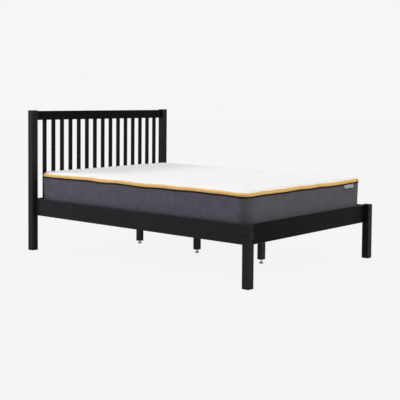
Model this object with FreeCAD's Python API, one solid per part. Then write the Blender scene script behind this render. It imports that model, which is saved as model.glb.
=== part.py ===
import FreeCAD, Part
import math
import os

# Double bed: a painted timber frame with a slatted headboard, a slat base on a
# centre rail with three height-adjusted legs, and a loose foam mattress.
# Millimetres. +Z is up, X is the width, Y the length with the head at +Y.
# The origin is on the floor, under the middle of the frame.

Vec = FreeCAD.Vector
os.makedirs("parts", exist_ok=True)

# Overall
bed_width = 1440.0
bed_length = 2020.0
head_height = 1020.0
foot_post_rise = 5.0

# Posts and legs
post_width = 50.0
post_depth = 50.0
post_ease = 1.5

# Rails of the base
rail_thickness = 20.0
rail_height = 120.0
rail_underside = 256.0
rail_recess = 27.0
rail_ease = 1.5

# Headboard
top_rail_height = 66.0
top_rail_drop = 5.0
spindle_count = 15
spindle_width = 28.0
spindle_thickness = 18.0
spindle_end_gap = 69.0
spindle_ease = 1.5
spindle_tenon_width = 17.0
spindle_tenon_thickness = 9.0
spindle_tenon_length = 16.0
top_tenon_height = 42.0
top_tenon_thickness = 12.0
top_tenon_length = 30.0
mortise_clearance = 0.2

# Slat base
slat_count = 13
slat_width = 76.0
slat_thickness = 18.0
slat_ease = 1.5
slat_top = 330.0
slat_end_clearance = 2.0
batten_width = 25.0
batten_height = 30.0
batten_end_gap = 58.0

# Centre rail, its brackets and its legs
centre_rail_width = 40.0
centre_rail_height = 50.0
centre_leg_width = 40.0
centre_leg_clearance = 31.0
centre_leg_spacing = 573.0
bracket_gauge = 2.0
bracket_reach = 38.0
bracket_ear = 19.0
bracket_height = 46.0
bracket_clearance = 0.3

# Levelling feet
pad_diameter = 30.0
pad_thickness = 12.0
pad_foot_ease = 2.0
pad_shoulder = 4.5
pad_shoulder_rise = 4.0
pad_floor = 5.5
pad_lip = 1.6
pad_boss_diameter = 15.0
pad_lift_head = 8.0
pad_lift_middle = 4.0
stud_diameter = 8.0
stud_length = 58.0
stud_foot_diameter = 11.0
stud_foot_height = 2.5
stud_hex_size = 10.0
stud_hex_height = 4.0
stud_hex_gap = 1.0
stud_clearance = 0.3
insert_diameter = 12.0
insert_length = 18.0

# Knock-down bolts, their barrel nuts and the dowels beside them
bolt_diameter = 8.0
bolt_length = 80.0
bolt_head_diameter = 12.5
bolt_head_height = 4.0
bolt_socket_size = 5.0
bolt_socket_depth = 2.5
bolt_recess = 9.0
bolt_clearance = 0.3
head_clearance = 0.5
bolt_spacing = 64.0
barrel_diameter = 14.0
barrel_length = 16.0
barrel_offset = 32.0
dowel_diameter = 8.0
dowel_length = 40.0
dowel_spacing = 36.0
dowel_clearance = 0.2

# Mattress
mattress_side_gap = 5.5
mattress_foot_gap = 7.0
mattress_head_gap = 27.5
mattress_height = 220.0
mattress_corner = 75.0
mattress_crown = 28.0
mattress_lift_gap = 0.3
cover_thickness = 6.0
cover_clearance = 0.3
seam_inset = 3.0
piping_diameter = 18.0
piping_inset = 7.0
tag_width = 118.0
tag_height = 36.0
tag_thickness = 1.6
tag_corner_distance = 185.0
tag_gap = 0.3

# Vertical profiles of the mattress: how far a level is drawn in, as a share of
# seam_inset, against the share of the height of the border or of the crown
border_profile_shares = [
    (5.0, 0.0), (3.3, 0.03), (2.3, 0.10), (1.6, 0.30), (0.7, 0.60), (0.3, 0.88), (1.0, 0.96), (2.6, 1.0)
]
crown_profile_shares = [(2.6, 0.0), (2.6, 0.33), (4.0, 0.55), (9.0, 0.78), (22.0, 0.92), (75.0, 1.0)]

# A cutter runs past the face that it opens by this much
overrun = 1.0

# Places worked out from the sizes above
half_width = bed_width / 2
half_length = bed_length / 2
inner_x = half_width - post_width
inner_y = half_length - post_depth
rail_top = rail_underside + rail_height
rail_mid = rail_underside + rail_height / 2
foot_height = rail_top + foot_post_rise
side_rail_x = half_width - rail_recess - rail_thickness / 2
side_rail_inner = side_rail_x - rail_thickness / 2
foot_rail_y = -(half_length - rail_recess - rail_thickness / 2)
foot_rail_inner = foot_rail_y + rail_thickness / 2
head_rail_y = half_length - post_depth / 2
head_rail_front = head_rail_y - rail_thickness / 2
top_rail_top = head_height - top_rail_drop
top_rail_bottom = top_rail_top - top_rail_height
slat_bottom = slat_top - slat_thickness
batten_length = 2 * (inner_y - batten_end_gap)
centre_rail_bottom = slat_bottom - centre_rail_height
slat_pitch = (batten_length - slat_width) / (slat_count - 1)
spindle_pitch = 2 * (inner_x - spindle_end_gap - spindle_width / 2) / (spindle_count - 1)
spindle_bottom = rail_top
spindle_top = top_rail_bottom
# Each centre leg: its name, its place and how far its foot is screwed up clear of the floor
leg_places = [
    ("head", centre_leg_spacing, pad_lift_head), ("middle", 0.0, pad_lift_middle), ("foot", -centre_leg_spacing, 0.0)
]
mattress_width = 2 * (side_rail_inner - mattress_side_gap)
mattress_foot = foot_rail_inner + mattress_foot_gap
mattress_head = head_rail_front - mattress_head_gap
mattress_length = mattress_head - mattress_foot
mattress_middle = (mattress_head + mattress_foot) / 2
mattress_bottom = slat_top + mattress_lift_gap
mattress_seam = mattress_bottom + mattress_height
pad_pocket_top = pad_floor + stud_foot_height + 2 * stud_clearance
pad_top = max(pad_pocket_top, pad_thickness) + pad_lip
bolt_hole_radius = bolt_diameter / 2 + bolt_clearance


def save(name, shape):
    """Writes one sub-part and stops on a broken solid."""
    if not shape.isValid() or shape.Volume <= 0:
        raise ValueError("broken solid: " + name)
    shape.exportStep("parts/" + name + ".step")
    print(name, len(shape.Solids), round(shape.Volume))


def bar(size, centre, along, ease):
    """A straight timber of a given size about its centre, with bevelled long arrises."""
    block = Part.makeBox(size.x, size.y, size.z, centre - size * (1 / 2))
    if ease <= 0:
        return block
    edges = []
    for edge in block.Edges:
        direction = edge.tangentAt(edge.FirstParameter)
        if abs(direction.dot(along)) > 1 / 2:
            edges.append(edge)
    return block.makeChamfer(ease, edges)


def rod(radius, length, base, axis):
    return Part.makeCylinder(radius, length, base, axis)


def joined(shapes):
    return shapes[0].fuse(shapes[1:]).removeSplitter()


def without(shape, cutters):
    result = shape.cut(Part.makeCompound(cutters))
    if len(result.Solids) != 1:
        raise ValueError("a cut left %d solids" % len(result.Solids))
    return result.Solids[0]


# Every knock-down joint: the point on the outer face of the post where the bolt goes in,
# the direction the bolt points, and the direction of the barrel nut's axis
def bolt_joints():
    joints = []
    for side in (-1, 1):
        for level in (rail_mid - bolt_spacing / 2, rail_mid + bolt_spacing / 2):
            for end in (-1, 1):
                entry = Vec(side * side_rail_x, end * half_length, level)
                joints.append((entry, Vec(0, -end, 0), Vec(side, 0, 0)))
        for rail_y, inward in ((foot_rail_y, -1), (head_rail_y, 1)):
            joints.append((Vec(side * half_width, rail_y, rail_mid), Vec(-side, 0, 0), Vec(0, inward, 0)))
    return joints


def bolt_hole(entry, direction):
    """A clearance hole for the shank with a counterbore for the head."""
    reach = bolt_recess + bolt_length + overrun * 4
    hole = rod(bolt_hole_radius, reach + overrun, entry - direction * overrun, direction)
    head_radius = bolt_head_diameter / 2 + head_clearance
    recess = rod(head_radius, bolt_recess + overrun, entry - direction * overrun, direction)
    return joined([hole, recess])


def bolt(entry, direction):
    """A flat-topped furniture bolt with a hexagon socket, seated in its counterbore."""
    seat = entry + direction * bolt_recess
    head = rod(bolt_head_diameter / 2, bolt_head_height, seat - direction * bolt_head_height, direction)
    shank = rod(bolt_diameter / 2, bolt_length, seat, direction)
    socket = hexagon(bolt_socket_size, bolt_socket_depth + overrun)
    socket = placed(socket, seat - direction * (bolt_head_height + overrun), direction)
    return joined([head, shank]).cut(socket)


def hexagon(across_flats, height):
    corner = across_flats / math.sqrt(3)
    points = []
    for i in range(7):
        angle = math.radians(60 * i)
        points.append(Vec(corner * math.cos(angle), corner * math.sin(angle), 0))
    return Part.Face(Part.makePolygon(points)).extrude(Vec(0, 0, height))


def placed(shape, base, direction):
    """Moves a shape built on the origin along +Z to a base point and a direction."""
    moved = shape.copy()
    turn = FreeCAD.Rotation(Vec(0, 0, 1), direction)
    moved.Placement = FreeCAD.Placement(base, turn)
    return moved


def barrel_centre(entry, direction):
    post_size = post_width if abs(direction.x) > 1 / 2 else post_depth
    return entry + direction * (post_size + barrel_offset)


def barrel_nut(entry, direction, axis):
    centre = barrel_centre(entry, direction)
    body = rod(barrel_diameter / 2, barrel_length, centre - axis * (barrel_length / 2), axis)
    thread = rod(bolt_hole_radius, barrel_diameter * 2, centre - direction * barrel_diameter, direction)
    return body.cut(thread)


def barrel_pocket(entry, direction, axis):
    """A blind hole from the inner face of the rail, as deep as the nut."""
    centre = barrel_centre(entry, direction)
    radius = barrel_diameter / 2 + bolt_clearance
    bottom = centre + axis * (barrel_length / 2)
    reach = barrel_length / 2 + rail_thickness / 2 + overrun
    return rod(radius, reach, bottom, axis * -1)


# Dowels steady the ends of the foot rail and of the lower head rail
def dowel_places():
    places = []
    for side in (-1, 1):
        for rail_y in (foot_rail_y, head_rail_y):
            for level in (rail_mid - dowel_spacing / 2, rail_mid + dowel_spacing / 2):
                places.append((Vec(side * inner_x, rail_y, level), Vec(side, 0, 0)))
    return places


def dowel(place, axis, radius, length):
    return rod(radius, length, place - axis * (length / 2), axis)


def dowel_holes():
    radius = dowel_diameter / 2 + dowel_clearance
    return [dowel(place, axis, radius, dowel_length + overrun) for place, axis in dowel_places()]


def slat_rows():
    first = -(batten_length - slat_width) / 2
    return [first + slat_pitch * i for i in range(slat_count)]


def bracket_ends():
    return [(foot_rail_inner, 1), (head_rail_front, -1)]


joint_bolt_holes = [bolt_hole(entry, direction) for entry, direction, axis in bolt_joints()]
barrel_pockets = [barrel_pocket(entry, direction, axis) for entry, direction, axis in bolt_joints()]


# Headboard posts and foot legs
def post(side, end, height):
    centre = Vec(side * (half_width - post_width / 2), end * (half_length - post_depth / 2), height / 2)
    body = Part.makeBox(post_width, post_depth, height, centre - Vec(post_width, post_depth, height) * (1 / 2))
    raised = [edge for edge in body.Edges if edge.BoundBox.ZMax > height / 2]
    return body.makeFillet(post_ease, raised)


def top_tenon_hole(side):
    size = Vec(top_tenon_length + overrun, top_tenon_thickness, top_tenon_height)
    grow = Vec(0, mortise_clearance, mortise_clearance) * 2
    centre = Vec(side * (inner_x + top_tenon_length / 2), head_rail_y, (top_rail_top + top_rail_bottom) / 2)
    return bar(size + grow, centre, Vec(0, 0, 1), 0)


for side, word in ((-1, "left"), (1, "right")):
    holes = joint_bolt_holes + dowel_holes()
    save("head_post_" + word, without(post(side, 1, head_height), holes + [top_tenon_hole(side)]))
    save("foot_leg_" + word, without(post(side, -1, foot_height), holes))


# Headboard rails and spindles
def spindle_places():
    first = -(inner_x - spindle_end_gap - spindle_width / 2)
    return [first + spindle_pitch * i for i in range(spindle_count)]


def spindle_mortises():
    cutters = []
    length = spindle_top - spindle_bottom + 2 * (spindle_tenon_length + overrun / 2)
    size = Vec(spindle_tenon_width, spindle_tenon_thickness, length)
    size = size + Vec(mortise_clearance, mortise_clearance, 0) * 2
    for x in spindle_places():
        centre = Vec(x, head_rail_y, (spindle_top + spindle_bottom) / 2)
        cutters.append(bar(size, centre, Vec(0, 0, 1), 0))
    return cutters


def spindle(x):
    length = spindle_top - spindle_bottom
    middle = Vec(x, head_rail_y, (spindle_top + spindle_bottom) / 2)
    body = bar(Vec(spindle_width, spindle_thickness, length), middle, Vec(0, 0, 1), spindle_ease)
    tenons = Vec(spindle_tenon_width, spindle_tenon_thickness, length + 2 * spindle_tenon_length)
    return joined([body, bar(tenons, middle, Vec(0, 0, 1), 0)])


across = Vec(1, 0, 0)
top_rail_middle = Vec(0, head_rail_y, (top_rail_top + top_rail_bottom) / 2)
top_rail = bar(Vec(2 * inner_x, rail_thickness, top_rail_height), top_rail_middle, across, rail_ease)
top_tenons = Vec(2 * (inner_x + top_tenon_length), top_tenon_thickness, top_tenon_height)
top_rail = joined([top_rail, bar(top_tenons, top_rail_middle, across, 0)])
save("head_top_rail", without(top_rail, spindle_mortises()))

end_rail_size = Vec(2 * inner_x, rail_thickness, rail_height)
lower_rail = bar(end_rail_size, Vec(0, head_rail_y, rail_mid), across, rail_ease)
cross_holes = joint_bolt_holes + barrel_pockets + dowel_holes()
save("head_lower_rail", without(lower_rail, cross_holes + spindle_mortises()))
for i, x in enumerate(spindle_places()):
    save("head_spindle_%02d" % (i + 1), spindle(x))

# Foot rail and side rails
foot_rail = bar(end_rail_size, Vec(0, foot_rail_y, rail_mid), across, rail_ease)
save("foot_rail", without(foot_rail, cross_holes))
lengthwise = Vec(0, 1, 0)
for side, word in ((-1, "left"), (1, "right")):
    rail_size = Vec(rail_thickness, 2 * inner_y, rail_height)
    side_rail = bar(rail_size, Vec(side * side_rail_x, 0, rail_mid), lengthwise, rail_ease)
    save("side_rail_" + word, without(side_rail, joint_bolt_holes + barrel_pockets))
    batten_size = Vec(batten_width, batten_length, batten_height)
    batten_middle = Vec(side * (side_rail_inner - batten_width / 2), 0, slat_bottom - batten_height / 2)
    save("slat_batten_" + word, bar(batten_size, batten_middle, lengthwise, 0))

# Slats across the battens and the centre rail
slat_size = Vec(2 * (side_rail_inner - slat_end_clearance), slat_width, slat_thickness)
for i, y in enumerate(slat_rows()):
    save("slat_%02d" % (i + 1), bar(slat_size, Vec(0, y, slat_top - slat_thickness / 2), across, slat_ease))


# Centre rail in two bent steel saddles, with three legs below it
def saddle(face, inward):
    """A U of sheet steel with a back plate that is screwed to the rail by its ears."""
    inside = centre_rail_width + 2 * bracket_clearance
    outside = inside + 2 * bracket_gauge
    bottom = centre_rail_bottom - bracket_gauge
    plate_width = outside + 2 * bracket_ear
    plate_middle = Vec(0, face + inward * bracket_gauge / 2, bottom + bracket_height / 2)
    plate = bar(Vec(plate_width, bracket_gauge, bracket_height), plate_middle, across, 0)
    cup_middle = Vec(0, face + inward * (bracket_gauge + bracket_reach / 2), bottom + bracket_height / 2)
    cup = bar(Vec(outside, bracket_reach, bracket_height), cup_middle, across, 0)
    room_height = bracket_height - bracket_gauge + overrun
    room_middle = Vec(0, cup_middle.y, centre_rail_bottom + room_height / 2)
    room = bar(Vec(inside, bracket_reach + overrun / 2, room_height), room_middle, across, 0)
    cup = cup.cut(room.cut(plate))
    return joined([plate, cup])


save("centre_rail_brackets", Part.makeCompound([saddle(face, inward) for face, inward in bracket_ends()]))


def leg_bolt_holes():
    return [bolt_hole(Vec(0, y, slat_bottom), Vec(0, 0, -1)) for word, y, lift in leg_places]


centre_start = foot_rail_inner + bracket_gauge + bracket_clearance
centre_end = head_rail_front - bracket_gauge - bracket_clearance
centre_size = Vec(centre_rail_width, centre_end - centre_start, centre_rail_height)
centre_middle = Vec(0, (centre_start + centre_end) / 2, slat_bottom - centre_rail_height / 2)
save("centre_rail", without(bar(centre_size, centre_middle, lengthwise, 0), leg_bolt_holes()))


def insert(y, mouth, inward):
    """The outside of a threaded sleeve let into the end of a leg."""
    return rod(insert_diameter / 2, insert_length, Vec(0, y, mouth), Vec(0, 0, inward))


def insert_bore(y, mouth, inward, radius):
    return rod(radius, insert_length + 2 * overrun, Vec(0, y, mouth - inward * overrun), Vec(0, 0, inward))


inserts = []
for word, y, lift in leg_places:
    leg_size = Vec(centre_leg_width, centre_leg_width, centre_rail_bottom - centre_leg_clearance)
    leg_middle = Vec(0, y, (centre_rail_bottom + centre_leg_clearance) / 2)
    leg = bar(leg_size, leg_middle, Vec(0, 0, 1), rail_ease)
    upper = insert(y, centre_rail_bottom, -1)
    lower = insert(y, centre_leg_clearance, 1)
    stud_room_length = stud_length + centre_leg_clearance
    stud_room = rod(stud_diameter / 2 + stud_clearance, stud_room_length, Vec(0, y, 0), Vec(0, 0, 1))
    save("centre_leg_" + word, without(leg, [upper, lower, stud_room] + leg_bolt_holes()))
    inserts.append(upper.cut(insert_bore(y, centre_rail_bottom, -1, bolt_hole_radius)))
    inserts.append(lower.cut(insert_bore(y, centre_leg_clearance, 1, stud_diameter / 2 + stud_clearance)))
save("threaded_inserts", Part.makeCompound(inserts))

# Levelling feet: a stud screws up into the leg, and its flanged foot turns in the pad
def stud(y):
    up = Vec(0, 0, 1)
    base = Vec(0, y, pad_floor + stud_clearance)
    foot = rod(stud_foot_diameter / 2, stud_foot_height, base, up)
    shank = rod(stud_diameter / 2, stud_length, base, up)
    flats = hexagon(stud_hex_size, stud_hex_height)
    flats.translate(Vec(0, y, pad_top + stud_hex_gap))
    tip = Part.makeCone(stud_diameter / 2, stud_diameter / 4, stud_diameter / 4, base + up * stud_length)
    return joined([foot, shank, flats, tip])


def pad(y):
    up = Vec(0, 0, 1)
    radius = pad_diameter / 2
    foot = Part.makeCone(radius - pad_foot_ease, radius, pad_foot_ease, Vec(0, y, 0))
    shoulder_level = pad_thickness - pad_shoulder_rise
    disc = rod(radius, shoulder_level - pad_foot_ease, Vec(0, y, pad_foot_ease), up)
    shoulder = Part.makeCone(radius, radius - pad_shoulder, pad_shoulder_rise, Vec(0, y, shoulder_level))
    boss = rod(pad_boss_diameter / 2, pad_top - pad_floor, Vec(0, y, pad_floor), up)
    pocket = rod(stud_foot_diameter / 2 + stud_clearance, pad_pocket_top - pad_floor, Vec(0, y, pad_floor), up)
    mouth = rod(stud_diameter / 2 + stud_clearance, pad_top, Vec(0, y, pad_pocket_top - overrun), up)
    return joined([foot, disc, shoulder, boss]).cut(joined([pocket, mouth]))


for word, y, lift in leg_places:
    save("leveller_stud_" + word, stud(y).translated(Vec(0, 0, lift)))
    save("leveller_pad_" + word, pad(y).translated(Vec(0, 0, lift)))

# Fasteners, each kind as one group of separate pieces
bolts = [bolt(entry, direction) for entry, direction, axis in bolt_joints()]
bolts += [bolt(Vec(0, y, slat_bottom), Vec(0, 0, -1)) for word, y, lift in leg_places]
save("connector_bolts", Part.makeCompound(bolts))
save("barrel_nuts", Part.makeCompound([barrel_nut(*joint) for joint in bolt_joints()]))
pegs = [dowel(place, axis, dowel_diameter / 2, dowel_length) for place, axis in dowel_places()]
save("rail_dowels", Part.makeCompound(pegs))


# Mattress: a foam core in a cloth cover, with piping along the upper seam
def outline(inset, level):
    """A rounded rectangle in plan, drawn in from the mattress's edge."""
    x = mattress_width / 2 - inset
    y = mattress_length / 2 - inset
    radius = mattress_corner
    edges = []
    arcs = []
    for i, (sx, sy) in enumerate([(1, 1), (-1, 1), (-1, -1), (1, -1)]):
        middle = Vec(sx * (x - radius), sy * (y - radius) + mattress_middle, level)
        points = []
        for step in range(3):
            angle = math.pi / 2 * (i + step / 2)
            points.append(middle + Vec(math.cos(angle), math.sin(angle), 0) * radius)
        arcs.append(points)
    for i, points in enumerate(arcs):
        edges.append(Part.Arc(*points).toShape())
        edges.append(Part.LineSegment(points[-1], arcs[(i + 1) % len(arcs)][0]).toShape())
    return Part.Wire(edges)


def stack(profile_shares, start, height, extra):
    """A solid through outlines that follow a vertical profile."""
    wires = []
    for inset_share, height_share in profile_shares:
        wires.append(outline(seam_inset * inset_share + extra, start + height * height_share))
    return Part.makeLoft(wires, True, True)


border_height = mattress_seam - mattress_bottom
whole_border = stack(border_profile_shares, mattress_bottom, border_height, 0.0)
room_bottom = mattress_bottom + cover_thickness
room = stack(border_profile_shares, room_bottom, mattress_seam + overrun - room_bottom, cover_thickness)
core_bottom = room_bottom + cover_clearance
core_height = mattress_seam - cover_clearance - core_bottom
core = stack(border_profile_shares, core_bottom, core_height, cover_thickness + 2 * cover_clearance)


def seam_ring(radius):
    """A round tube that follows the upper seam all the way round."""
    start = Vec(mattress_width / 2 - piping_inset, mattress_head - piping_inset - mattress_corner, mattress_seam)
    section = Part.Wire(Part.Circle(start, Vec(0, 1, 0), radius).toShape())
    return outline(piping_inset, mattress_seam).makePipeShell([section], True, False)


groove = seam_ring(piping_diameter / 2 + cover_clearance)
save("mattress_core", core.cut(groove))
save("mattress_piping", seam_ring(piping_diameter / 2))
save("mattress_border", whole_border.cut(room).cut(groove))

crown = stack(crown_profile_shares, mattress_seam + cover_clearance, mattress_crown, 0.0)
save("mattress_top", crown.cut(groove))

# A bare cloth tag sewn into the seam under the piping, near the right foot corner.
# It lies against the border, so its back bends where the border does.
def border_y(level):
    share = (level - mattress_bottom) / border_height
    for (inset_a, share_a), (inset_b, share_b) in zip(border_profile_shares, border_profile_shares[1:]):
        if share_a <= share <= share_b:
            inset = inset_a + (inset_b - inset_a) * (share - share_a) / (share_b - share_a)
            return mattress_foot + seam_inset * inset
    raise ValueError("the level is not on the border")


tag_left = mattress_width / 2 - tag_corner_distance - tag_width / 2
tag_top = mattress_seam - piping_diameter / 2 - tag_gap
tag_bottom = tag_top - tag_height
border_bends = [mattress_bottom + border_height * share for inset, share in reversed(border_profile_shares)]
tag_levels = [tag_top] + [level for level in border_bends if tag_bottom < level < tag_top] + [tag_bottom]
back_points = [Vec(tag_left, border_y(level) - tag_gap, level) for level in tag_levels]
front_points = [point - Vec(0, tag_thickness, 0) for point in reversed(back_points)]
tag_outline = Part.makePolygon(back_points + front_points + back_points[:1])
save("mattress_tag", Part.Face(tag_outline).extrude(Vec(tag_width, 0, 0)))
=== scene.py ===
import math

import bmesh
import bpy
from mathutils import Matrix, Vector, noise


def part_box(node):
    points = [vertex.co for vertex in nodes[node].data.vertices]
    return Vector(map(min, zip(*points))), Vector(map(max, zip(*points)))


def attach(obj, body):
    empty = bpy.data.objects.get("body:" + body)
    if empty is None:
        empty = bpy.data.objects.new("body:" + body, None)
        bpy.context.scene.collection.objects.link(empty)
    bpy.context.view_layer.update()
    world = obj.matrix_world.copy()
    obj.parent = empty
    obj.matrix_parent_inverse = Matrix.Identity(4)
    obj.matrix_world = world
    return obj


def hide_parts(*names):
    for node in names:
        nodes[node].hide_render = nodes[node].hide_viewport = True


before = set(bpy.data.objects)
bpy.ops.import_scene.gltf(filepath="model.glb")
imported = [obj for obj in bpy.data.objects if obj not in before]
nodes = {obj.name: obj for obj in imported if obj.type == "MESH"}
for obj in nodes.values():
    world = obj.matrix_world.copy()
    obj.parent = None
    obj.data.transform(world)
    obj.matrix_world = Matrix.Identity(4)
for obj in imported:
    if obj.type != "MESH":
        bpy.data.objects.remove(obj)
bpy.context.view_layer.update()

scene = bpy.context.scene


# Small helpers for the node trees. Those that build on a socket find the tree from it
def emptied(owner):  # the node tree of a material or world, with nothing in it
    owner.use_nodes = True
    owner.node_tree.nodes.clear()
    return owner.node_tree


def feed(socket, value):
    if isinstance(value, bpy.types.NodeSocket):
        socket.id_data.links.new(value, socket)
    else:
        socket.default_value = value


def addNode(tree, kind, settings=None, byPlace=None, **inputs):  # Base_Color=... fills the input "Base Color"
    node = tree.nodes.new(kind)
    for key, value in (settings or {}).items():
        setattr(node, key, value)
    for place, value in (byPlace or {}).items():
        feed(node.inputs[place], value)
    for key, value in inputs.items():
        feed(node.inputs[key.replace("_", " ")], value)
    return node


def startMaterial(name):
    material = bpy.data.materials.new(name)
    tree = emptied(material)
    shader = tree.nodes.new("ShaderNodeBsdfPrincipled")
    addNode(tree, "ShaderNodeOutputMaterial", byPlace={0: shader.outputs[0]})
    return material, tree, shader


def maths(operation, first, second=0.0):
    return addNode(first.id_data, "ShaderNodeMath", {"operation": operation}, {0: first, 1: second}).outputs[0]


def between(value, low, high, newLow=0.0, newHigh=1.0):
    node = addNode(value.id_data, "ShaderNodeMapRange", Value=value, From_Min=low, From_Max=high,
                   To_Min=newLow, To_Max=newHigh)
    return node.outputs[0]


def mixColour(factor, first, second, blend="MIX"):  # the factor or the first colour is a socket
    tree = getattr(factor, "id_data", None) or first.id_data
    node = addNode(tree, "ShaderNodeMix", {"data_type": "RGBA", "blend_type": blend},
                   {0: factor, 6: first, 7: second})
    return node.outputs[2]


def placeIn(tree, kind, scale):  # the coordinates of a material, stretched to a scale in features per metre
    source = tree.nodes.new("ShaderNodeTexCoord").outputs[kind]
    return addNode(tree, "ShaderNodeMapping", Vector=source, Scale=scale).outputs[0]


def cloudy(coords, detail, roughness):
    node = addNode(coords.id_data, "ShaderNodeTexNoise", Vector=coords, Scale=1.0, Detail=detail,
                   Roughness=roughness)
    return node.outputs["Fac"]


def grain(tree, along, perMetre, detail, roughness):  # streaks, by their counts per metre along and across
    lengthwise, crosswise = perMetre
    scale = tuple(lengthwise if axis == along else crosswise for axis in "XYZ")
    return cloudy(placeIn(tree, "Object", scale), detail, roughness)


def waves(coords, direction, scale, distortion, detail):
    settings = {"wave_type": "BANDS", "bands_direction": direction, "wave_profile": "SIN"}
    node = addNode(coords.id_data, "ShaderNodeTexWave", settings, Vector=coords, Scale=scale,
                   Distortion=distortion, Detail=detail)
    return node.outputs["Fac"]


def tone(colour, factor):
    return tuple(channel * factor for channel in colour) + (1.0,)


def setShader(shader, colour, roughness, **constants):  # numbers that are the same all over stay on the socket
    feed(shader.inputs["Base Color"], colour)
    feed(shader.inputs["Roughness"], roughness)
    for label, number in constants.items():
        shader.inputs[label.replace("_", " ")].default_value = number


def addRelief(shader, height, depth, strength):
    bump = addNode(shader.id_data, "ShaderNodeBump", Height=height, Strength=strength, Distance=depth)
    feed(shader.inputs["Normal"], bump.outputs[0])


# Black satin paint over solid timber: the grain telegraphs through, and the arrises are lighter, partly worn
# polish and partly a painted highlight.
# Each kind of member takes its own tone of the one black paint. The differences are painted light and shade,
# such as the lighter centre legs that stand in shade under the bed and the darker end rails
paint = {
    "roughness": 0.44,
    "grainDepth": 0.00020,
    "arris": 0.0028,  # how far the lighter band of an arris reaches, and how much lighter it is: worn polish and a painted highlight
    "arrisWearAndHighlight": 4.2,
    "coarse": (2.4, 95.0),  # streaks per metre along and across the grain
    "fine": (11.0, 620.0),
    "patches": 3.0,
}
# tones of the one black paint, one for each kind of member: painted light and shade, not a difference in the
# paint
paintsWithPaintedLight = {
    "postPaint": {"along": "Z", "colour": (0.0120, 0.0117, 0.0121), "specular": 0.055},
    "spindlePaint": {"along": "Z", "colour": (0.0045, 0.0043, 0.0046), "specular": 0.055},
    "endRailPaint": {"along": "X", "colour": (0.0030, 0.0028, 0.0030), "specular": 0.039},
    "sideRailPaint": {"along": "Y", "colour": (0.0140, 0.0136, 0.0147), "specular": 0.036},
    # the lightest tone: painted light on legs that stand in the shade under the bed
    "centreLegPaint": {"along": "Z", "colour": (0.0330, 0.0320, 0.0330), "specular": 0.09},
}


def paintMaterial(name):
    values = paintsWithPaintedLight[name]
    along, colour = values["along"], values["colour"]
    material, tree, shader = startMaterial(name)
    coarse = grain(tree, along, paint["coarse"], 4.0, 0.62)
    fine = grain(tree, along, paint["fine"], 2.0, 0.5)
    broad = cloudy(placeIn(tree, "Object", (paint["patches"],) * 3), 3.0, 0.55)
    bevel = addNode(tree, "ShaderNodeBevel", {"samples": 4}, Radius=paint["arris"])
    plain = tree.nodes.new("ShaderNodeNewGeometry").outputs["Normal"]
    dot = addNode(tree, "ShaderNodeVectorMath", {"operation": "DOT_PRODUCT"}, {0: bevel.outputs[0], 1: plain})
    edge = between(dot.outputs["Value"], 0.985, 0.86)
    wornAndHighlit = maths("MULTIPLY", edge, between(coarse, 0.35, 0.75))
    shade = mixColour(between(coarse, 0.3, 0.7), tone(colour, 0.82), tone(colour, 1.16))
    shade = mixColour(between(broad, 0.3, 0.7), shade, tone(colour, 1.25))
    # arrises lighter: partly worn polish, partly a painted highlight
    shade = mixColour(wornAndHighlit, shade, tone(colour, paint["arrisWearAndHighlight"]))
    dull = between(coarse, 0.25, 0.75, paint["roughness"] - 0.05, paint["roughness"] + 0.07)
    dull = maths("SUBTRACT", dull, maths("MULTIPLY", edge, 0.08))
    setShader(shader, shade, dull, Specular_IOR_Level=values["specular"])
    height = maths("ADD", coarse, maths("MULTIPLY", fine, 0.45))
    addRelief(shader, height, paint["grainDepth"], 0.55)
    return material


# Planed softwood, unfinished: growth lines along the piece and a slightly different tone for each board
softwood = {
    "light": (0.66, 0.47, 0.27),
    "dark": (0.42, 0.25, 0.115),
    "roughness": 0.62,
    "grainDepth": 0.00025,
    "growth": (1.1, 17.0),  # counts per metre along and across the grain
    "fibre": (14.0, 900.0),
    "board": (0.4, 9.0),
    "rings": 7.0,
}


def timberMaterial(along):
    light, dark, roughness = softwood["light"], softwood["dark"], softwood["roughness"]
    material, tree, shader = startMaterial("bareTimber" + along)
    growth = grain(tree, along, softwood["growth"], 3.0, 0.45)
    rings = maths("FRACT", maths("MULTIPLY", growth, softwood["rings"]))
    late = between(rings, 0.62, 0.95)
    fibre = grain(tree, along, softwood["fibre"], 3.0, 0.6)
    board = grain(tree, along, softwood["board"], 0.0, 0.5)
    shade = mixColour(maths("MULTIPLY", late, 0.75), tone(light, 1.0), tone(dark, 1.0))
    shade = mixColour(between(board, 0.3, 0.7, 0.0, 0.35), shade, tone(dark, 1.35))
    shade = mixColour(between(fibre, 0.35, 0.7, 0.0, 0.22), shade, tone(dark, 0.8))
    dull = between(fibre, 0.3, 0.7, roughness - 0.08, roughness + 0.08)
    setShader(shader, shade, dull, Specular_IOR_Level=0.35)
    height = maths("ADD", fibre, maths("MULTIPLY", late, 0.5))
    addRelief(shader, height, softwood["grainDepth"], 0.5)
    return material


# The steels: black bolts, black powder-coated saddles, zinc-plated nuts and sleeves, bright nickel feet
steels = {
    "boltSteel": {"colour": (0.014, 0.014, 0.015), "roughness": 0.42, "metallic": 0.9,
                  "streak": 900.0, "depth": 0.00003},
    "saddleSteel": {"colour": (0.016, 0.016, 0.017), "roughness": 0.55, "metallic": 0.0,
                    "streak": 1500.0, "depth": 0.00008},
    "zincSteel": {"colour": (0.60, 0.57, 0.48), "roughness": 0.33, "metallic": 1.0,
                  "streak": 700.0, "depth": 0.00003},
    "nickelSteel": {"colour": (0.50, 0.495, 0.49), "roughness": 0.42, "metallic": 1.0,
                    "streak": 1100.0, "depth": 0.00002},
}


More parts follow.
